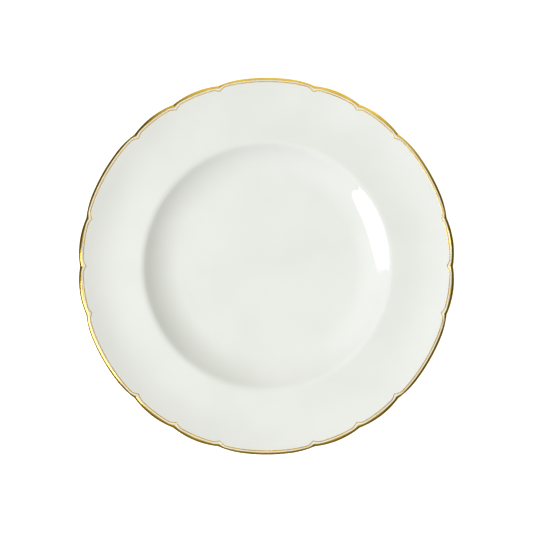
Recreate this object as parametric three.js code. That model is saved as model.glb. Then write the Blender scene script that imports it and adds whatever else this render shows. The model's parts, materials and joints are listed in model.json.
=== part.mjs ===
// China dinner plate: a bone china body under clear glaze, with a gilt edge and a fine gilt line.
// Its outline has eighteen shallow lobes, in six groups: one long lobe, then two short ones.
// Millimetres, +Z up. The origin is on the table, in the middle of the foot ring.
import * as THREE from 'three';

// Outline, seen from above
const PLATE_RADIUS = 135;       // to the outside of the gilding, at the middle of a lobe
const GROUPS = 6;
const SHORT_LOBE = 15;          // degrees; a long lobe fills the rest of a group
const LOBE_REACH = 7.5;         // degrees from a notch to where a lobe is fully out
const TIP_REACH = 2.5;          // degrees over which a gilt line turns into its pointed tip

// Films
const GLAZE = 0.25;
const GOLD = 0.12;

// Face: a flat floor, a hollow curve up to a short straight wall, a round shoulder, then the rim
const FLOOR_HEIGHT = 6.6;
const FLOOR_RADIUS = 63.5;
const HOLLOW_RADIUS = 41.5;
const WALL_SLOPE = 31;          // degrees
const WALL_RUN = 1.8;           // of the straight wall, in plan
const SHOULDER_RADIUS = 9;
const RIM_FALL = 1;             // degrees that the rim dips as it leaves the shoulder
const RIM_RISE = 15;            // degrees that it rises at the edge
const RIM_CONE_RADIUS = 127;    // the rim is straight from here to the edge
const RIM_EASE = 0.38;          // share of the curved rim over which it leaves each end's slope
const LIP_HEIGHT = 19.29;       // of the face where it meets the rounded edge
const LIP_TURNS = [             // round the edge: a tight crest, a long fall, then the underside
  { radius: 0.6, toSlope: -25, steps: 2 },
  { radius: 3, toSlope: -45, steps: 1 },
  { radius: 1, toSlope: -165, steps: 3 },
];

// Back: a wall of even thickness, a foot ring, and a flat base inside it
const WALL_THICKNESS = 3.2;
const BASE_THICKNESS = 3.4;
const FOOT_RADIUS = 70;         // to the middle of the bearing face
const FOOT_WIDTH = 2.6;
const FOOT_FLARE = 0.7;         // how much each side of the foot leans out on its way up
const FOOT_SHOULDER = 3.4;      // height at which the foot's outside meets the curve of the back
const FOOT_MEETS_SLOPE = 12;    // degrees that the back's curve still has there
const BARE_FOOT = 0.9;          // height of the foot that is wiped clean of glaze

// Gilding: where an edge runs on a long lobe, and how far it moves in elsewhere
const OUTLINE = { moveIn: 0, sag: 1.36, tip: 0 };
const BAND_EDGE = { radius: 133.2, moveIn: 0.5, sag: 1.36, tip: 0.2 };
const LINE_OUTSIDE = { radius: 132.4, moveIn: 0.6, sag: 0.45, tip: 1.8 };
const LINE_INSIDE = { radius: 131.8, moveIn: 0.6, sag: 0.45, tip: 1.8 };
const ROUND = { moveIn: 0, sag: 0, tip: 0 };

const GROUP_ANGLE = 360 / GROUPS;
const radians = THREE.MathUtils.degToRad;
const RIM_GRADIENT = Math.tan(radians(RIM_RISE));

// ---- outline ------------------------------------------------------------------------------

// How far a ring moves in at an angle: on short lobes, towards a notch, and at the notch's tip
function inwardShift(angle, course) {
  const fromMiddle = Math.abs(
    THREE.MathUtils.euclideanModulo(angle + GROUP_ANGLE / 2, GROUP_ANGLE) - GROUP_ANGLE / 2);
  const fromNotch = Math.min(fromMiddle, Math.abs(fromMiddle - SHORT_LOBE));
  const shortness = THREE.MathUtils.clamp(0.5 + (SHORT_LOBE - fromMiddle) / (2 * TIP_REACH), 0, 1);
  const nearNotch = Math.max(0, 1 - fromNotch / LOBE_REACH) ** 2;
  const nearTip = Math.max(0, 1 - fromNotch / TIP_REACH) ** 2;
  return course.moveIn * shortness + course.sag * nearNotch + course.tip * nearTip;
}

// Angles of the points of a ring, from the steps in a short lobe and in a long one
function stations(shortSteps, longSteps) {
  const lobes = [
    [0, shortSteps],
    [SHORT_LOBE, longSteps],
    [GROUP_ANGLE - SHORT_LOBE, shortSteps],
  ];
  return Array.from({ length: GROUPS }, (_, group) => lobes.map(([start, steps]) =>
    steps.map((step) => group * GROUP_ANGLE + start + step))).flat(2);
}

const COARSE = stations([0, 7.5], [0, 7.5, 15, 22.5]);
const FINE = stations([0, 2, 4.5, 7.5, 10.5, 13], [0, 2, 4.5, 9.5, 15, 20.5, 25.5, 28]);

// ---- section ------------------------------------------------------------------------------

// A row is one point of the section, and how the ring through it runs round the plate
function row(r, z, angles = COARSE, course = ROUND) {
  return { r, z, angles, course };
}

// Rows on a curve of the section, after its first point
function rowsAlong(curve, steps) {
  return curve.getPoints(steps).slice(1).map((point) => row(point.x, point.y));
}

// An arc of the section between two slopes in degrees; side is +1 over its centre, -1 under it
function arc(centre, radius, fromSlope, toSlope, side) {
  const start = radians(fromSlope + side * 90);
  const end = radians(toSlope + side * 90);
  return new THREE.EllipseCurve(centre.x, centre.y, radius, radius, start, end, end < start);
}

// The long easy curve of the rim between two points, with its slope at each, in degrees
function sweep(from, fromSlope, to, toSlope) {
  const reach = (to.x - from.x) * RIM_EASE;
  const leave = new THREE.Vector2(reach, reach * Math.tan(radians(fromSlope)));
  const arrive = new THREE.Vector2(reach, reach * Math.tan(radians(toSlope)));
  return new THREE.CubicBezierCurve(from, from.clone().add(leave), to.clone().sub(arrive), to);
}

// The points of the rounded edge, from the face over the crest to the underside
function lipPoints() {
  const points = [new THREE.Vector2(0, LIP_HEIGHT)];
  let slope = RIM_RISE;
  for (const { radius, toSlope, steps } of LIP_TURNS) {
    const upright = new THREE.Vector2(0, radius).rotateAround(new THREE.Vector2(), radians(slope));
    const centre = points.at(-1).clone().sub(upright);
    points.push(...arc(centre, radius, slope, toSlope, 1).getPoints(steps).slice(1));
    slope = toSlope;
  }
  const reach = Math.max(...points.map((point) => point.x));
  const outwards = new THREE.Vector2(PLATE_RADIUS - GOLD - reach, 0);
  return points.map((point) => point.add(outwards));
}

const lip = lipPoints();
const lipTop = lip[0];
const lipUnder = lip.at(-1);

const hollowCentre = new THREE.Vector2(FLOOR_RADIUS, FLOOR_HEIGHT + HOLLOW_RADIUS);
const hollow = arc(hollowCentre, HOLLOW_RADIUS, 0, WALL_SLOPE, -1);
const wallTop = hollow.getPoint(1).add(
  new THREE.Vector2(WALL_RUN, WALL_RUN * Math.tan(radians(WALL_SLOPE))));
const shoulderCentre = wallTop.clone().sub(
  new THREE.Vector2(0, SHOULDER_RADIUS).rotateAround(new THREE.Vector2(), radians(WALL_SLOPE)));
const shoulder = arc(shoulderCentre, SHOULDER_RADIUS, WALL_SLOPE, -RIM_FALL, 1);

// A point on the straight outer part of the rim, on its face or on its back
function onCone(r, anchor) {
  return new THREE.Vector2(r, anchor.y - (anchor.x - r) * RIM_GRADIENT);
}

// A row on the face where an edge of the gilding runs
function edgeRow(edge) {
  const point = onCone(edge.radius, lipTop);
  return row(point.x, point.y, FINE, edge);
}

// The finished surface, from the middle of the face to the gilt edge
function faceRows() {
  const rim = sweep(shoulder.getPoint(1), -RIM_FALL, onCone(RIM_CONE_RADIUS, lipTop), RIM_RISE);
  return [
    row(0, FLOOR_HEIGHT),
    row(FLOOR_RADIUS, FLOOR_HEIGHT),
    ...rowsAlong(hollow, 4),
    row(wallTop.x, wallTop.y),
    ...rowsAlong(shoulder, 3),
    ...rowsAlong(rim, 5),
    edgeRow(LINE_INSIDE),
    edgeRow(LINE_OUTSIDE),
    edgeRow(BAND_EDGE),
  ];
}

// From under the lip to where the glaze ends on the outside of the foot
function backRows() {
  const hollowRadius = HOLLOW_RADIUS + WALL_THICKNESS;
  const shoulderRadius = SHOULDER_RADIUS - WALL_THICKNESS;
  const backHollow = arc(hollowCentre, hollowRadius, WALL_SLOPE, FOOT_MEETS_SLOPE, -1);
  const backShoulder = arc(shoulderCentre, shoulderRadius, -RIM_FALL, WALL_SLOPE, 1);
  const coneEnd = onCone(RIM_CONE_RADIUS, lipUnder);
  const rim = sweep(backShoulder.getPoint(0), -RIM_FALL, coneEnd, RIM_RISE);
  const footOutside = FOOT_RADIUS + FOOT_WIDTH / 2;
  return [
    row(coneEnd.x, coneEnd.y),
    ...rim.getPoints(4).reverse().slice(1).map((point) => row(point.x, point.y)),
    ...rowsAlong(backShoulder, 2),
    row(backHollow.getPoint(0).x, backHollow.getPoint(0).y),
    ...rowsAlong(backHollow, 3),
    row(footOutside + FOOT_FLARE, FOOT_SHOULDER),
    row(footOutside + FOOT_FLARE / 2, BARE_FOOT),
  ];
}

// From where the glaze ends on the inside of the foot to the middle of the base
function baseRows() {
  const footInside = FOOT_RADIUS - FOOT_WIDTH / 2;
  const baseHeight = FLOOR_HEIGHT - BASE_THICKNESS;
  return [
    row(footInside - FOOT_FLARE / 2, BARE_FOOT),
    row(footInside - FOOT_FLARE, baseHeight - BARE_FOOT),
    row(footInside - FOOT_FLARE - BARE_FOOT, baseHeight),
    row(0, baseHeight),
  ];
}

// The section of the whole finished plate, named where one coat ends and the next begins
const face = faceRows();
const lipEdge = lip.map((point) => row(point.x, point.y, FINE, OUTLINE));
const back = backRows();
const bearing = [
  row(FOOT_RADIUS + FOOT_WIDTH / 2, 0),
  row(FOOT_RADIUS - FOOT_WIDTH / 2, 0),
];
const finished = [...face, ...lipEdge, ...back, ...bearing, ...baseRows()];

// Rows moved square to the section by a distance, outwards if it is positive
function offset(rows, distance) {
  return rows.map((point, i) => {
    const before = rows[i - 1] ?? { r: -rows[i + 1].r, z: rows[i + 1].z };
    const after = rows[i + 1] ?? { r: -before.r, z: before.z };
    const arrive = new THREE.Vector2(point.r - before.r, point.z - before.z).normalize();
    const leave = new THREE.Vector2(after.r - point.r, after.z - point.z).normalize();
    const along = arrive.clone().add(leave).normalize();
    const reach = distance / along.dot(arrive);
    return { ...point, r: point.r - along.y * reach, z: point.z + along.x * reach };
  });
}

// ---- solids -------------------------------------------------------------------------------

// The ring that a row makes round the plate, or its one point on the axis
function ring({ r, z, angles, course }) {
  if (r === 0) {
    return { angles: [0], points: [new THREE.Vector3(0, 0, z)] };
  }
  const points = angles.map((angle) => {
    const shift = inwardShift(angle, course);
    const turn = radians(angle);
    return new THREE.Vector3(
      (r - shift) * Math.cos(turn), (r - shift) * Math.sin(turn), z - shift * RIM_GRADIENT);
  });
  return { angles, points };
}

// Triangles between two rings, stepping round whichever is behind
function strip(first, second) {
  const triangles = [];
  const at = ({ points }, i) => points[i % points.length];
  const next = ({ angles, points }, i) => {
    if (points.length === 1 || i >= angles.length) {
      return Infinity;
    }
    return i + 1 === angles.length ? 360 : angles[i + 1];
  };
  let i = 0;
  let j = 0;
  while (Math.min(next(first, i), next(second, j)) < Infinity) {
    const ahead = next(first, i);
    const beside = next(second, j);
    if (beside <= ahead) {
      triangles.push([at(first, i), at(second, j), at(second, j + 1)]);
      j += 1;
    }
    if (ahead <= beside) {
      triangles.push([at(first, i), at(second, j), at(first, i + 1)]);
      i += 1;
    }
  }
  return triangles;
}

// A sheet of triangles through rows
function sheet(rows) {
  const rings = rows.map(ring);
  return rings.slice(1).flatMap((second, i) => strip(rings[i], second));
}

function turned(triangles) {
  return triangles.map(([a, b, c]) => [a, c, b]);
}

// A coat between an inner and an outer sheet, closed along each edge that isn't on the axis
function coat(outer, inner) {
  const edges = [];
  if (outer[0].r > 0) {
    edges.push(...sheet([inner[0], outer[0]]));
  }
  if (outer.at(-1).r > 0) {
    edges.push(...sheet([outer.at(-1), inner.at(-1)]));
  }
  return [...sheet(outer), ...turned(sheet(inner)), ...edges];
}

function piece(name, triangles, finish) {
  const geometry = new THREE.BufferGeometry().setFromPoints(triangles.flat());
  geometry.computeVertexNormals();
  const mesh = new THREE.Mesh(geometry, new THREE.MeshStandardMaterial(finish));
  mesh.name = name;
  return mesh;
}

// Where each coat starts and ends in the section
const lineStart = face.length - 3;
const bandStart = face.length - 1;
const bandEnd = face.length + lipEdge.length;
const backEnd = bandEnd + back.length;
const baseStart = backEnd + bearing.length;

const gilded = offset(finished, GOLD);
const china = offset(finished, -GLAZE);
const chinaFace = china.slice(0, backEnd).filter((_, i) => i < lineStart || i >= bandStart);
const chinaBase = china.slice(baseStart);

const CHINA = { color: 0xf1f0e8, roughness: 0.6, metalness: 0 };
const CLEAR_GLAZE = { color: 0xf4f5f0, roughness: 0.06, metalness: 0 };
const BURNISHED_GOLD = { color: 0xd9b54a, roughness: 0.15, metalness: 1 };

const plate = new THREE.Group();
plate.add(
  piece('china_body', sheet([...chinaFace, ...bearing, ...chinaBase]), CHINA),
  piece('face_glaze', coat(finished.slice(0, backEnd), chinaFace), CLEAR_GLAZE),
  piece('base_glaze', coat(finished.slice(baseStart), chinaBase), CLEAR_GLAZE),
  piece('gilt_edge_band',
    coat(gilded.slice(bandStart, bandEnd), finished.slice(bandStart, bandEnd)), BURNISHED_GOLD),
  piece('gilt_fine_line',
    coat(gilded.slice(lineStart, bandStart), finished.slice(lineStart, bandStart)), BURNISHED_GOLD),
);

export default plate;
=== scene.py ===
"""China dinner plate: a bone china body under clear glaze, with a gilt edge and a fine gilt line.

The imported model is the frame. Each coat of the plate is spun round the foot ring's axis from its own
section, then the rim is drawn in to its eighteen lobes, and the gold is laid along the lobed edge.
Sizes are in millimetres and become metres where a mesh is made.
"""
import json
import logging
import math
from dataclasses import dataclass, field
from enum import Enum
from typing import Any, Callable

import bpy
import numpy as np
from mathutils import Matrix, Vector


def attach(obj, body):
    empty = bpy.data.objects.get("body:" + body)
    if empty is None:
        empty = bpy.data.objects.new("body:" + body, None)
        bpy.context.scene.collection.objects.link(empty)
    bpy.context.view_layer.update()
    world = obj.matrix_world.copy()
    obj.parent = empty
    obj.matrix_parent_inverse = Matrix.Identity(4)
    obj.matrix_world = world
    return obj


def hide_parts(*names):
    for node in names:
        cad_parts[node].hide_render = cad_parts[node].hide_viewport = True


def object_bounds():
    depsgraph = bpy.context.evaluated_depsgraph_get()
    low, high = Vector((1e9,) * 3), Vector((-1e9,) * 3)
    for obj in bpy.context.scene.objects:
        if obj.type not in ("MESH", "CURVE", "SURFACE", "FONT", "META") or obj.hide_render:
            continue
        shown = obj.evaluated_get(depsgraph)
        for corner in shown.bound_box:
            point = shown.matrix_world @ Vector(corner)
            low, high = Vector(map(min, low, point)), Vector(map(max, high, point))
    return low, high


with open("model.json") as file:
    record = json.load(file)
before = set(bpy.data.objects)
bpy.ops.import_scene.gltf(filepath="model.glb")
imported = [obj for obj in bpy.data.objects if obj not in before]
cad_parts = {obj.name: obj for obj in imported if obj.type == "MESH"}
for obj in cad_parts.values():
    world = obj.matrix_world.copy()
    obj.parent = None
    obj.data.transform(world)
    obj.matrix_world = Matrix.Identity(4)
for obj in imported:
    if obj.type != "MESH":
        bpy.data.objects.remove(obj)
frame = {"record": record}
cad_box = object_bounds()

MM = 0.001
WHOLE_TURN = 2 * math.pi
WELD_WITHIN = 0.002 * MM
SMOOTH_BELOW = math.radians(50)
log = logging.getLogger("plate")

Point = tuple[float, float]
Direction = tuple[float, float, float]


class Side(Enum):
    """Which side of its centre a bend of the section lies on."""

    OVER = 1
    UNDER = -1


# ---- shape ----------------------------------------------------------------------------------


@dataclass(frozen=True)
class Bend:
    """A round bend of the section."""

    centre: Point
    radius: float
    side: Side

    def at(self, slope: float) -> Point:
        """Gives the point of the bend where the section has a slope.

        Args:
            slope: The slope in degrees, positive where the section rises outwards.

        Returns:
            The radius from the axis and the height.
        """
        turn = math.radians(slope)
        reach = self.side.value * self.radius
        return self.centre[0] - reach * math.sin(turn), self.centre[1] + reach * math.cos(turn)

    def points(self, from_slope: float, to_slope: float, steps: int) -> list[Point]:
        """Gives points along the bend, both ends included.

        Args:
            from_slope: The first point's slope in degrees.
            to_slope: The last point's slope in degrees.
            steps: How many steps to take.

        Returns:
            The points in order.
        """
        return [self.at(from_slope + (to_slope - from_slope) * i / steps) for i in range(steps + 1)]


@dataclass(frozen=True)
class Roll:
    """The rounded edge of the rim: a tight crest, a long fall outwards, then the turn underneath.

    Each turn is a radius in millimetres and the tilt in degrees at which it ends.
    """

    start_tilt: float = -15.0
    turns: tuple[Point, ...] = ((0.25, 28.0), (8.5, 41.0), (1.0, 165.0))

    def follow(self, along: np.ndarray) -> tuple[np.ndarray, np.ndarray, np.ndarray]:
        """Follows the edge from where the face ends.

        Args:
            along: Distances from there, negative on the straight part of the rim.

        Returns:
            How far out, how far up, and the tilt in radians at each distance.
        """
        tilt = math.radians(self.start_tilt)
        inside = np.minimum(along, 0)
        out, up = inside * math.cos(tilt), -inside * math.sin(tilt)
        lean = np.full_like(inside, tilt)
        begin = 0.0
        for radius, end_tilt in self.turns:
            turned = np.clip((along - begin) / radius, 0, math.radians(end_tilt) - tilt)
            out = out + radius * (np.sin(tilt + turned) - math.sin(tilt))
            up = up + radius * (np.cos(tilt + turned) - math.cos(tilt))
            lean = lean + turned
            begin += radius * (math.radians(end_tilt) - tilt)
            tilt = math.radians(end_tilt)
        return out, up, lean

    @property
    def length(self) -> float:
        """The whole distance round the edge."""
        tilts = (self.start_tilt, *(tilt for _, tilt in self.turns))
        return sum(radius * math.radians(end - start)
                   for (radius, end), start in zip(self.turns, tilts))

    @property
    def reach(self) -> float:
        """How far out the edge goes from where the face ends."""
        return float(self.follow(np.linspace(0, self.length, 400))[0].max())


@dataclass(frozen=True)
class Course:
    """How a line round the edge runs: how far it moves in from its place on a long lobe."""

    radius: float = 0.0
    on_short_lobes: float = 0.0
    towards_notch: float = 0.0
    at_tip: float = 0.0


@dataclass(frozen=True)
class Lobes:
    """The lobed outline: in each group one long lobe and two short ones, with a notch between."""

    groups: int = 6
    short_lobe: float = 15.0
    reach: float = 7.5
    tip_reach: float = 2.2
    outline: Course = Course(towards_notch=1.36)

    def inward(self, angle: np.ndarray, course: Course) -> np.ndarray:
        """Says how far a line moves in at each angle.

        Args:
            angle: Angles round the plate in degrees, anticlockwise from +X.
            course: The line.

        Returns:
            The distances in millimetres.
        """
        pitch = 360 / self.groups
        from_middle = np.abs((angle + pitch / 2) % pitch - pitch / 2)
        from_notch = np.minimum(from_middle, np.abs(from_middle - self.short_lobe))
        shortness = np.clip(0.5 + (self.short_lobe - from_middle) / (2 * self.tip_reach), 0, 1)
        near_notch = np.clip(1 - from_notch / self.reach, 0, 1) ** 2
        near_tip = np.clip(1 - from_notch / self.tip_reach, 0, 1) ** 1.5
        return (course.on_short_lobes * shortness + course.towards_notch * near_notch
                + course.at_tip * near_tip)


@dataclass(frozen=True)
class Section:
    """The section of the glazed plate, from the middle of the face to the middle of the base."""

    plate_radius: float
    floor_height: float
    film: float = 0.12
    glaze: float = 0.25
    floor_radius: float = 63.5
    hollow_radius: float = 41.5
    wall_slope: float = 31.0
    wall_run: float = 1.8
    shoulder_radius: float = 9.0
    rim_fall: float = 1.0
    rim_rise: float = 15.0
    rim_ease: float = 0.38
    cone_radius: float = 127.0
    lip_start_height: float = 19.23
    roll: Roll = Roll()
    wall_thickness: float = 3.2
    base_thickness: float = 3.4
    foot_radius: float = 70.0
    foot_width: float = 2.6
    foot_flare: float = 0.7
    foot_shoulder: float = 3.4
    foot_fillet: float = 1.2
    foot_meets_slope: float = 12.0
    bare_foot: float = 0.9

    @property
    def gradient(self) -> float:
        """The rise of the rim's straight outer part for each millimetre outwards."""
        return math.tan(math.radians(self.rim_rise))

    @property
    def lip_top(self) -> Point:
        """Where the face meets the rounded edge."""
        return self.plate_radius - self.film - self.roll.reach, self.lip_start_height

    def lip(self, steps: int) -> list[Point]:
        """Gives the rounded edge's points, both ends included.

        Args:
            steps: How many steps to take.

        Returns:
            The points in order.
        """
        out, up, _ = self.roll.follow(np.linspace(0, self.roll.length, steps + 1))
        return [(self.lip_top[0] + float(o), self.lip_top[1] + float(u)) for o, u in zip(out, up)]

    @property
    def hollow(self) -> Bend:
        """The curve from the floor of the well up into its wall."""
        return Bend((self.floor_radius, self.floor_height + self.hollow_radius), self.hollow_radius,
                    Side.UNDER)

    @property
    def shoulder(self) -> Bend:
        """The round shoulder between the wall of the well and the rim."""
        foot = self.hollow.at(self.wall_slope)
        slope = math.radians(self.wall_slope)
        top = foot[0] + self.wall_run, foot[1] + self.wall_run * math.tan(slope)
        centre = (top[0] + self.shoulder_radius * math.sin(slope),
                  top[1] - self.shoulder_radius * math.cos(slope))
        return Bend(centre, self.shoulder_radius, Side.OVER)

    def sweep(self, start: Point, end: Point, steps: int) -> list[Point]:
        """Gives the long easy curve of the rim, which dips, levels and then rises.

        Args:
            start: Where it leaves the shoulder.
            end: Where its straight outer part starts.
            steps: How many steps to take.

        Returns:
            The points in order, both ends included.
        """
        reach = (end[0] - start[0]) * self.rim_ease
        leave = start[0] + reach, start[1] - reach * math.tan(math.radians(self.rim_fall))
        arrive = end[0] - reach, end[1] - reach * self.gradient
        points = []
        for i in range(steps + 1):
            t = i / steps
            weights = (1 - t) ** 3, 3 * t * (1 - t) ** 2, 3 * t * t * (1 - t), t ** 3
            corners = start, leave, arrive, end
            points.append(tuple(sum(w * c[k] for w, c in zip(weights, corners)) for k in (0, 1)))
        return points

    def on_cone(self, radius: float, anchor: Point) -> Point:
        """Gives a point on the straight outer part of the rim that passes through an anchor."""
        return radius, anchor[1] - (anchor[0] - radius) * self.gradient

    def face(self, detail: int) -> list[Point]:
        """Gives the finished surface from the middle of the well round the lip to its underside.

        Args:
            detail: How finely the bends are stepped, 1 for the coarsest.

        Returns:
            The points in order.
        """
        floor = [(self.floor_radius * share, self.floor_height) for share in (0, 0.3, 0.6, 0.85)]
        shoulder = self.shoulder.points(self.wall_slope, -self.rim_fall, 4 * detail)
        cone_end = self.on_cone(self.cone_radius, self.lip_top)
        return [
            *floor,
            *self.hollow.points(0, self.wall_slope, 4 * detail),
            *shoulder,
            *self.sweep(shoulder[-1], cone_end, 6 * detail)[1:],
            *[self.on_cone(radius, self.lip_top) for radius in (128.5, 130.0, 131.5)],
            *self.lip(6 * detail),
        ]

    def back(self, detail: int) -> list[Point]:
        """Gives the finished surface from under the lip to where the glaze ends on the foot.

        Args:
            detail: How finely the bends are stepped, 1 for the coarsest.

        Returns:
            The points in order.
        """
        hollow = Bend(self.hollow.centre, self.hollow_radius + self.wall_thickness, Side.UNDER)
        shoulder = Bend(self.shoulder.centre, self.shoulder_radius - self.wall_thickness, Side.OVER)
        cone_end = self.on_cone(self.cone_radius, self.lip(1)[-1])
        foot = self.foot_radius + self.foot_width / 2
        fillet = self.foot_fillet
        turn_in = Bend((foot + self.foot_flare + fillet, self.foot_shoulder), fillet, Side.OVER)
        rim = self.sweep(shoulder.at(-self.rim_fall), cone_end, 4 * detail)
        return [
            *reversed(rim),
            *shoulder.points(-self.rim_fall, self.wall_slope, 2 * detail)[1:],
            *hollow.points(self.wall_slope, self.foot_meets_slope, 2 * detail),
            *turn_in.points(self.foot_meets_slope + 10, 85, detail),
            (foot + self.foot_flare / 2, self.bare_foot),
        ]

    def base(self, detail: int) -> list[Point]:
        """Gives the finished surface inside the foot, from its bare edge to the middle.

        Args:
            detail: How finely the bends are stepped, 1 for the coarsest.

        Returns:
            The points in order.
        """
        foot = self.foot_radius - self.foot_width / 2
        height = self.floor_height - self.base_thickness
        fillet = self.foot_fillet
        root = Bend((foot - self.foot_flare - fillet, height - fillet), fillet, Side.OVER)
        return [
            (foot - self.foot_flare / 2, self.bare_foot),
            *root.points(-85, 0, 2 * detail),
            *[(self.floor_radius * share, height) for share in (0.85, 0.5, 0)],
        ]


def inset(points: list[Point], distance: float) -> list[Point]:
    """Moves a section square to itself.

    Args:
        points: The section, with the outside on its left as it is followed.
        distance: How far to move it inwards.

    Returns:
        The moved section, with points on the axis kept on it.
    """
    moved = []
    for i, (r, z) in enumerate(points):
        before = points[i - 1] if i else (-points[1][0], points[1][1])
        after = points[i + 1] if i + 1 < len(points) else (-before[0], before[1])
        along = (Vector((r - before[0], z - before[1])).normalized()
                 + Vector((after[0] - r, after[1] - z)).normalized()).normalized()
        moved.append((r + along.y * distance if r > 0 else 0.0, z - along.x * distance))
    return moved


@dataclass(frozen=True)
class LobedEdge:
    """The glazed edge of the plate once its rim is drawn in to the lobes."""

    section: Section
    lobes: Lobes

    def draw_in(self, places: np.ndarray) -> np.ndarray:
        """Slides points near the edge down the slope of the rim, to where the lobes bring them.

        Args:
            places: Points of a piece spun round the axis, in millimetres, one in each row.

        Returns:
            The points in their places.
        """
        radius, angle = np.hypot(places[:, 0], places[:, 1]), np.arctan2(places[:, 1], places[:, 0])
        start, end = self.section.cone_radius, self.section.lip_top[0]
        share = np.clip((radius - start) / (end - start), 0, 1)
        shift = share * self.lobes.inward(np.degrees(angle), self.lobes.outline)
        height = places[:, 2] - shift * self.section.gradient
        drawn = radius - shift
        return np.column_stack((drawn * np.cos(angle), drawn * np.sin(angle), height))

    def along_to(self, angle: np.ndarray, radius: np.ndarray) -> np.ndarray:
        """Says how far along the section a radius lies, counted from where the lip starts.

        Args:
            angle: Angles round the plate in degrees.
            radius: The radius to reach at each of them.

        Returns:
            Distances along the glaze, negative on the rim and positive round the lip.
        """
        distances = np.linspace(-10, self.section.roll.length / 2, 2000)
        reached = self.section.roll.follow(distances)[0]
        shift = self.lobes.inward(angle, self.lobes.outline)
        beyond_lip = radius - self.section.lip_top[0] + shift
        return np.interp(beyond_lip, np.maximum.accumulate(reached), distances)

    def place(self, angle: np.ndarray, along: np.ndarray, height: np.ndarray) -> np.ndarray:
        """Gives points over the glaze of the edge.

        Args:
            angle: Angles round the plate in degrees.
            along: Distances along the section, as along_to gives them.
            height: Distances off the glaze.

        Returns:
            The points in millimetres, one in each row.
        """
        shift = self.lobes.inward(angle, self.lobes.outline)
        out, up, tilt = self.section.roll.follow(along)
        start = self.section.lip_top
        radius = start[0] - shift + out + height * np.sin(tilt)
        level = start[1] - shift * self.section.gradient + up + height * np.cos(tilt)
        turn = np.radians(angle)
        return np.column_stack((radius * np.cos(turn), radius * np.sin(turn), level))


# ---- modelling ------------------------------------------------------------------------------


def deselect() -> None:
    """Leaves edit mode and deselects every object."""
    if bpy.context.object and bpy.context.object.mode != "OBJECT":
        bpy.ops.object.mode_set(mode="OBJECT")
    bpy.ops.object.select_all(action="DESELECT")


def spin(name: str, section: list[Point], steps: int, closed: bool) -> bpy.types.Object:
    """Draws a section point by point and spins it a whole turn round the axis.

    Args:
        name: The piece's name.
        section: The section's points in millimetres, ending on the axis or next to the first.
        steps: How many steps the turn takes.
        closed: Whether the last point joins the first.

    Returns:
        The spun piece, one closed body with its faces pointing out.
    """
    deselect()
    bpy.ops.mesh.primitive_plane_add(size=MM, location=(0, 0, 0))
    piece = bpy.context.object
    piece.name = piece.data.name = name
    bpy.ops.object.mode_set(mode="EDIT")
    bpy.ops.mesh.merge(type="CENTER")
    places = [Vector((r * MM, 0, z * MM)) for r, z in section]
    bpy.ops.transform.translate(value=places[0])
    for before, after in zip(places, places[1:]):
        bpy.ops.mesh.extrude_region_move(TRANSFORM_OT_translate={"value": after - before})
    bpy.ops.mesh.select_all(action="SELECT")
    if closed:
        bpy.ops.mesh.edge_face_add()
        bpy.ops.mesh.delete(type="ONLY_FACE")
        bpy.ops.mesh.select_all(action="SELECT")
    bpy.ops.mesh.spin(steps=steps, angle=WHOLE_TURN, center=(0, 0, 0), axis=(0, 0, 1))
    bpy.ops.mesh.select_all(action="SELECT")
    bpy.ops.mesh.remove_doubles(threshold=WELD_WITHIN)
    bpy.ops.mesh.normals_make_consistent(inside=False)
    bpy.ops.object.mode_set(mode="OBJECT")
    return piece


def reshape(piece: bpy.types.Object, move: Callable[[np.ndarray], np.ndarray]) -> None:
    """Moves every point of a piece.

    Args:
        piece: The piece.
        move: Takes the points in millimetres, one in each row, and gives their new places.
    """
    flat = np.empty(len(piece.data.vertices) * 3)
    piece.data.vertices.foreach_get("co", flat)
    piece.data.vertices.foreach_set("co", (move(flat.reshape(-1, 3) / MM) * MM).ravel())
    piece.data.update()


def finish_piece(piece: bpy.types.Object, material: bpy.types.Material, slot: str,
                 *nodes: str) -> None:
    """Smooths a piece, gives it its finish, and sets it in the frame in place of CAD nodes.

    Args:
        piece: The piece.
        material: Its finish.
        slot: The record's material slot; not used.
        nodes: The CAD nodes that it stands for.
    """
    deselect()
    piece.select_set(True)
    bpy.context.view_layer.objects.active = piece
    bpy.ops.object.shade_smooth_by_angle(angle=SMOOTH_BELOW)
    piece.data.materials.clear()
    piece.data.materials.append(material)
    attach(piece, "root")
    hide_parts(*nodes)
    log.info("%s: %d faces, %s", piece.name, len(piece.data.polygons), material.name)


# ---- finishes -------------------------------------------------------------------------------


def colour(hex_code: str) -> tuple[float, float, float, float]:
    """Turns an sRGB colour such as "#E9ECE6" into the linear one that a shader takes."""
    parts = [int(hex_code[i:i + 2], 16) / 255 for i in (1, 3, 5)]
    linear = [c / 12.92 if c <= 0.04045 else ((c + 0.055) / 1.055) ** 2.4 for c in parts]
    return linear[0], linear[1], linear[2], 1.0


def add_node(material: Any, kind: str, settings: dict[Any, Any], links: dict[Any, Any]) -> Any:
    """Adds a node to a material or a world.

    Args:
        material: What the node is added to.
        kind: The node's type.
        settings: Values for its properties and its unlinked inputs, by name or by number.
        links: The output socket that feeds each linked input.

    Returns:
        The node.
    """
    node = material.node_tree.nodes.new(kind)
    for name, value in settings.items():
        if isinstance(name, str) and name not in node.inputs:
            setattr(node, name, value)
        else:
            node.inputs[name].default_value = value
    for name, source in links.items():
        material.node_tree.links.new(source, node.inputs[name])
    return node


def new_material(name: str) -> tuple[bpy.types.Material, Any]:
    """Makes an empty node material.

    Args:
        name: Its name.

    Returns:
        The material and the socket with the piece's own coordinates.
    """
    material = bpy.data.materials.new(name)
    material.use_nodes = True
    material.node_tree.nodes.clear()
    place = add_node(material, "ShaderNodeTexCoord", {}, {})
    return material, place.outputs["Object"]


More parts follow.
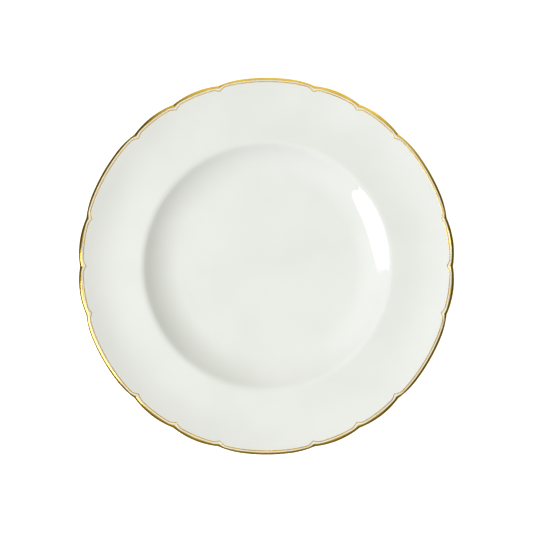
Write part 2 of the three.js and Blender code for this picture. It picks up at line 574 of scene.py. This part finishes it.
def close_material(material: bpy.types.Material, settings: dict[Any, Any],
                   links: dict[Any, Any]) -> None:
    """Ends a material with its shader and output.

    Args:
        material: The material.
        settings: The shader's own uniform values.
        links: What feeds its other inputs.
    """
    shader = add_node(material, "ShaderNodeBsdfPrincipled", settings, links)
    add_node(material, "ShaderNodeOutputMaterial", {}, {"Surface": shader.outputs[0]})


def per_mm(spacing: float) -> float:
    """The texture scale at which a pattern repeats about every so many millimetres."""
    return 1 / (spacing * MM)


def clouds(material: bpy.types.Material, place: Any, spacing: float, detail: float = 2.0) -> Any:
    """Adds a soft random pattern.

    Args:
        material: The material.
        place: The coordinates it reads.
        spacing: The pattern's size in millimetres.
        detail: How many finer layers it has.

    Returns:
        The pattern's socket, about 0.5 on average.
    """
    settings = {"Scale": per_mm(spacing), "Detail": detail, "Roughness": 0.55}
    return add_node(material, "ShaderNodeTexNoise", settings, {"Vector": place}).outputs["Fac"]


def blend(material: bpy.types.Material, share: Any, low: str, high: str, span: Point) -> Any:
    """Adds a colour that runs between two as a pattern goes across a span.

    Args:
        material: The material.
        share: The pattern.
        low: The sRGB colour at the span's start.
        high: The one at its end.
        span: The span.

    Returns:
        The colour's socket.
    """
    ramp = add_node(material, "ShaderNodeValToRGB", {}, {"Fac": share})
    for stop, place, code in zip(ramp.color_ramp.elements, span, (low, high)):
        stop.position = place
        stop.color = colour(code)
    return ramp.outputs["Color"]


def between(material: bpy.types.Material, pattern: Any, low: float, high: float) -> Any:
    """Adds a number that runs between two as a pattern goes from 0.3 to 0.7."""
    settings = {"From Min": 0.3, "From Max": 0.7, "To Min": low, "To Max": high}
    return add_node(material, "ShaderNodeMapRange", settings, {"Value": pattern}).outputs[0]


def bump(material: bpy.types.Material, pattern: Any, height: float, under: Any = None) -> Any:
    """Adds relief from a pattern.

    Args:
        material: The material.
        pattern: The pattern.
        height: The relief's depth in millimetres.
        under: Coarser relief that it lies on, if any.

    Returns:
        The bent normal's socket.
    """
    links = {"Height": pattern} | ({"Normal": under} if under else {})
    return add_node(material, "ShaderNodeBump", {"Distance": height * MM}, links).outputs[0]


@dataclass(frozen=True)
class GlazedChina:
    """Bone china under clear lead-free glaze, dipped and glost fired.

    The glaze lies like water, so it mirrors crisply, with only the faint wander of a poured coat.
    """

    name: str = "bone_china_clear_glaze_glost_fired"
    pale: str = "#EDEFEA"
    deep: str = "#E9ECE6"

    def build(self) -> bpy.types.Material:
        """Makes the material."""
        material, place = new_material(self.name)
        body = blend(material, clouds(material, place, 45), self.deep, self.pale, (0.35, 0.65))
        wander = bump(material, clouds(material, place, 16, 1), 0.012)
        close_material(material, {
            "IOR": 1.5,
        }, {
            "Base Color": body,
            "Roughness": between(material, clouds(material, place, 25), 0.03, 0.07),
            "Normal": wander,
        })
        return material


@dataclass(frozen=True)
class BareChina:
    """Biscuit-fired bone china where the glaze is wiped off: matt, dense and very finely grained."""

    name: str = "bone_china_bare_biscuit_fired"

    def build(self) -> bpy.types.Material:
        """Makes the material."""
        material, place = new_material(self.name)
        body = blend(material, clouds(material, place, 6), "#DAD5C6", "#ECE8DC", (0.3, 0.7))
        grain = bump(material, clouds(material, place, 0.5), 0.02)
        close_material(material, {"IOR": 1.5}, {
            "Base Color": body,
            "Roughness": between(material, clouds(material, place, 3), 0.62, 0.8),
            "Normal": grain,
        })
        return material


@dataclass(frozen=True)
class BurnishedGold:
    """Bright gold brushed on over the glaze, fired, then burnished: a deep yellow soft mirror."""

    name: str = "gold_brushed_fired_burnished"
    pale: str = "#EFCB5C"
    deep: str = "#DFB84C"
    roughness: Point = (0.13, 0.19)

    def build(self) -> bpy.types.Material:
        """Makes the material."""
        material, place = new_material(self.name)
        metal = blend(material, clouds(material, place, 7, 3), self.deep, self.pale, (0.35, 0.65))
        strokes = bump(material, clouds(material, place, 1.5), 0.008)
        close_material(material, {"Metallic": 1.0}, {
            "Base Color": metal,
            "Roughness": between(material, clouds(material, place, 4), *self.roughness),
            "Normal": strokes,
        })
        return material


@dataclass(frozen=True)
class StudioFloor:
    """Pale seamless paper, lit so that it reads as white."""

    name: str = "studio_paper_pale_seamless"
    glow: float = 0.75

    def build(self) -> bpy.types.Material:
        """Makes the material, which is clear from underneath."""
        material, place = new_material(self.name)
        paper = blend(material, clouds(material, place, 90), "#F4F4F2", "#F7F7F6", (0.3, 0.7))
        matt = add_node(material, "ShaderNodeBsdfDiffuse", {}, {"Color": paper}).outputs[0]
        glow = add_node(material, "ShaderNodeEmission", {"Strength": self.glow}, {}).outputs[0]
        top = add_node(material, "ShaderNodeAddShader", {}, {0: matt, 1: glow}).outputs[0]
        clear = add_node(material, "ShaderNodeBsdfTransparent", {}, {}).outputs[0]
        under = add_node(material, "ShaderNodeNewGeometry", {}, {}).outputs["Backfacing"]
        both = add_node(material, "ShaderNodeMixShader", {}, {0: under, 1: top, 2: clear}).outputs[0]
        add_node(material, "ShaderNodeOutputMaterial", {}, {"Surface": both})
        return material


# ---- pieces ---------------------------------------------------------------------------------


@dataclass
class China:
    """The bone china body and the two coats of glaze on it."""

    edge: LobedEdge
    body_steps: int = 240
    glaze_steps: int = 480
    detail: int = 4
    hidden_detail: int = 2
    foot_edge: float = 0.25

    def outside(self, detail: int) -> list[Point]:
        """Gives the finished surface from the middle of the face to the bare foot.

        Args:
            detail: How finely the bends are stepped, 1 for the coarsest.

        Returns:
            The points in order.
        """
        section = self.edge.section
        return section.face(detail) + section.back(detail)

    def build(self) -> None:
        """Builds and dresses the body and both coats."""
        section = self.edge.section
        foot = section.foot_radius
        half = section.foot_width / 2
        soft = self.foot_edge
        bearing = [(foot + half, soft), (foot + half - soft, 0),
                   (foot - half + soft, 0), (foot - half, soft)]
        whole = self.outside(self.hidden_detail) + bearing + section.base(self.hidden_detail)
        china = inset(whole, section.glaze)
        split = len(self.outside(self.hidden_detail))
        face, base = china[:split], china[split + len(bearing):]
        body = spin("china_body_fired", face + bearing + base, self.body_steps, False)
        reshape(body, self.edge.draw_in)
        finish_piece(body, BareChina().build(), "bone_china", "china_body")
        glazed = GlazedChina().build()
        coat = spin("face_glaze_coat", self.outside(self.detail) + face[::-1],
                    self.glaze_steps, False)
        reshape(coat, self.edge.draw_in)
        finish_piece(coat, glazed, "clear_glaze", "face_glaze")
        patch = spin("base_glaze_patch", base[::-1] + section.base(self.detail),
                     self.body_steps, False)
        finish_piece(patch, glazed, "clear_glaze", "base_glaze")


@dataclass
class GoldStripe:
    """A stripe of gold that follows the lobed edge, first spun flat and then wrapped over it."""

    name: str
    edge: LobedEdge
    inner: Course
    outer: Course | None
    thickness: float
    node: str
    finish: BurnishedGold
    across: int = 20
    steps: int = 1440
    flat_radius: float = 100.0
    flat_width: float = 10.0
    side_taper: int = 12

    def flat_section(self) -> list[Point]:
        """The stripe's section while it is flat: its width across, and its top 1 mm over its back."""
        shares = [(1 - math.cos(math.pi * i / self.across)) / 2 for i in range(self.across + 1)]
        top = [(self.flat_radius + share * self.flat_width, 1.0) for share in shares]
        return top + [(r, 0.0) for r, _ in reversed(top[::2])]

    def wrap(self, places: np.ndarray) -> np.ndarray:
        """Lays the flat stripe on the glaze.

        Args:
            places: The flat stripe's points, one in each row.

        Returns:
            Their places on the plate.
        """
        angle = np.degrees(np.arctan2(places[:, 1], places[:, 0]))
        share = (np.hypot(places[:, 0], places[:, 1]) - self.flat_radius) / self.flat_width
        start = self.line(angle, self.inner)
        end = self.line(angle, self.outer) if self.outer else self.edge.section.roll.length
        crown = 1 - np.abs(2 * share - 1) ** self.side_taper
        height = places[:, 2] * self.thickness * crown
        return self.edge.place(angle, start + share * (end - start), height)

    def line(self, angle: np.ndarray, course: Course) -> np.ndarray:
        """How far along the section an edge of the stripe runs at each angle."""
        return self.edge.along_to(angle, course.radius - self.edge.lobes.inward(angle, course))

    def build(self) -> None:
        """Builds and dresses the stripe."""
        stripe = spin(self.name, self.flat_section(), self.steps, True)
        reshape(stripe, self.wrap)
        finish_piece(stripe, self.finish.build(), "burnished_gold", self.node)


@dataclass(frozen=True)
class Softbox:
    """An oval studio light that faces the plate."""

    name: str
    azimuth: float
    elevation: float
    distance: float
    size: Point
    power: float
    tint: str = "#FFFFFF"

    def build(self) -> None:
        """Puts the light up."""
        flat, rise = math.radians(self.azimuth), math.radians(self.elevation)
        out = Vector((math.cos(flat) * math.cos(rise), math.sin(flat) * math.cos(rise), math.sin(rise)))
        bpy.ops.object.light_add(type="AREA", location=out * self.distance)
        light = bpy.context.object
        light.name = light.data.name = self.name
        light.rotation_euler = (-out).to_track_quat("-Z", "Y").to_euler()
        light.data.shape = "ELLIPSE"
        light.data.size, light.data.size_y = self.size
        light.data.energy = self.power
        light.data.color = colour(self.tint)[:3]


@dataclass
class Studio:
    """The floor, the lights round it and the camera straight above."""

    section: Section
    frame_width: float = 0.3809
    lens: float = 135.0
    offset: Point = (0.00002, -0.00022)
    warmth: tuple[float, float, float, float] = (1.005, 1.0, 0.93, 1.0)
    overhead: Direction = (0.0, 0.0, 1.0)
    overhead_levels: tuple[Point, ...] = (
        (-0.25, 0.7), (-0.1, 0.3), (0.0, 0.09), (0.58, 0.12), (0.74, 0.5), (0.9, 0.81))
    pale_wall: Direction = (0.172, 0.975, 0.139)
    pale_wall_levels: tuple[Point, ...] = ((0.6, 0.0), (0.9, 0.82))
    near_side: Direction = (-0.089, -0.637, 0.766)
    near_side_levels: tuple[Point, ...] = ((0.6, 0.0), (0.95, 0.24))
    lights: tuple[Softbox, ...] = field(default_factory=lambda: (
        Softbox("key_softbox", 199.5, 37.2, 3.5, (2.1, 2.6), 92.5, "#F6F6FF"),
    ))

    def floor(self) -> None:
        """Lays the pale floor that the foot stands on."""
        deselect()
        bpy.ops.mesh.primitive_plane_add(size=12, location=(0, 0, 0))
        floor = bpy.context.object
        floor.name = "studio_floor"
        floor.data.materials.append(StudioFloor().build())
        floor.visible_glossy = floor.visible_diffuse = floor.visible_shadow = False

    def sky(self) -> None:
        """Surrounds the plate with soft warm light: bright overhead, dim room, one pale wall."""
        world = bpy.data.worlds.new("studio_surround")
        bpy.context.scene.world = world
        world.use_nodes = True
        world.node_tree.nodes.clear()
        way = add_node(world, "ShaderNodeTexCoord", {}, {}).outputs["Generated"]
        overhead = self.patch(world, way, self.overhead, self.overhead_levels)
        wall = self.patch(world, way, self.pale_wall, self.pale_wall_levels)
        near = self.patch(world, way, self.near_side, self.near_side_levels)
        plus = {"operation": "ADD"}
        walls = add_node(world, "ShaderNodeMath", plus, {0: near, 1: wall}).outputs[0]
        whole = add_node(world, "ShaderNodeMath", plus, {0: overhead, 1: walls}).outputs[0]
        sky = add_node(world, "ShaderNodeBackground", {"Color": self.warmth}, {"Strength": whole})
        add_node(world, "ShaderNodeOutputWorld", {}, {"Surface": sky.outputs[0]})

    @staticmethod
    def patch(world: Any, way: Any, middle: Direction, levels: tuple[Point, ...]) -> Any:
        """Adds brightness that depends on how far a direction lies from a middle one.

        Args:
            world: The world.
            way: The direction looked in.
            middle: The direction of the patch's middle.
            levels: Pairs of the cosine of the angle from the middle and the brightness there.

        Returns:
            The brightness's socket.
        """
        lean = add_node(world, "ShaderNodeVectorMath", {"operation": "DOT_PRODUCT", 1: middle},
                        {0: way})
        share = add_node(world, "ShaderNodeMapRange", {"From Min": -1.0, "From Max": 1.0},
                         {"Value": lean.outputs["Value"]}).outputs[0]
        curve = add_node(world, "ShaderNodeFloatCurve", {}, {"Value": share})
        line = curve.mapping.curves[0]
        line.points[0].location = (0.0, levels[0][1] / 2)
        line.points[1].location = (1.0, levels[-1][1] / 2)
        for cosine, level in levels:
            line.points.new((cosine + 1) / 2, level / 2)
        for point in line.points:
            point.handle_type = "VECTOR"
        curve.mapping.update()
        return add_node(world, "ShaderNodeMath", {"operation": "MULTIPLY", 1: 2.0},
                        {0: curve.outputs[0]}).outputs[0]

    def camera(self) -> None:
        """Hangs the camera over the plate, square to it, with the frame's width at the rim."""
        distance = self.frame_width * self.lens / 36.0
        height = self.section.lip_start_height * MM + distance
        bpy.ops.object.camera_add(location=(*self.offset, height), rotation=(0, 0, 0))
        camera = bpy.context.object
        camera.data.lens = self.lens
        camera.data.sensor_width = 36.0
        camera.data.clip_end = 50
        bpy.context.scene.camera = camera

    def build(self) -> None:
        """Sets the whole studio up."""
        self.floor()
        for light in self.lights:
            light.build()
        self.sky()
        self.camera()
        bpy.context.scene.view_settings.view_transform = "Standard"
        log.info("studio: %d softboxes", len(self.lights))


def main() -> None:
    """Builds the plate and its studio."""
    logging.basicConfig(level=logging.INFO, format="%(name)s %(message)s")
    low, high = cad_box
    floor = next(m for m in frame["record"]["mounts"] if m["name"] == "well_floor")["pos_m"][2]
    plate_radius = math.floor((high.y - low.y) / 2 / MM * 10) / 10
    section = Section(plate_radius=plate_radius, floor_height=floor / MM)
    edge = LobedEdge(section, Lobes())
    China(edge).build()
    band_edge = Course(133.07, 0.6, 0.35, 1.1)
    line_middle, line_half_width = (132.02, 0.65, 0.45, 1.9), 0.38
    GoldStripe("gilt_edge_band_burnished", edge, band_edge, None, thickness=0.1,
               node="gilt_edge_band", finish=BurnishedGold()).build()
    line_inner = Course(line_middle[0] - line_half_width, *line_middle[1:])
    line_outer = Course(line_middle[0] + line_half_width, *line_middle[1:])
    fine_gold = BurnishedGold("gold_fine_line_fired", pale="#E6C25A", deep="#D3AC46")
    GoldStripe("gilt_fine_line_fired", edge, line_inner, line_outer, thickness=0.05,
               node="gilt_fine_line", finish=fine_gold, across=8).build()
    Studio(section).build()


if __name__ == "__main__":
    main()
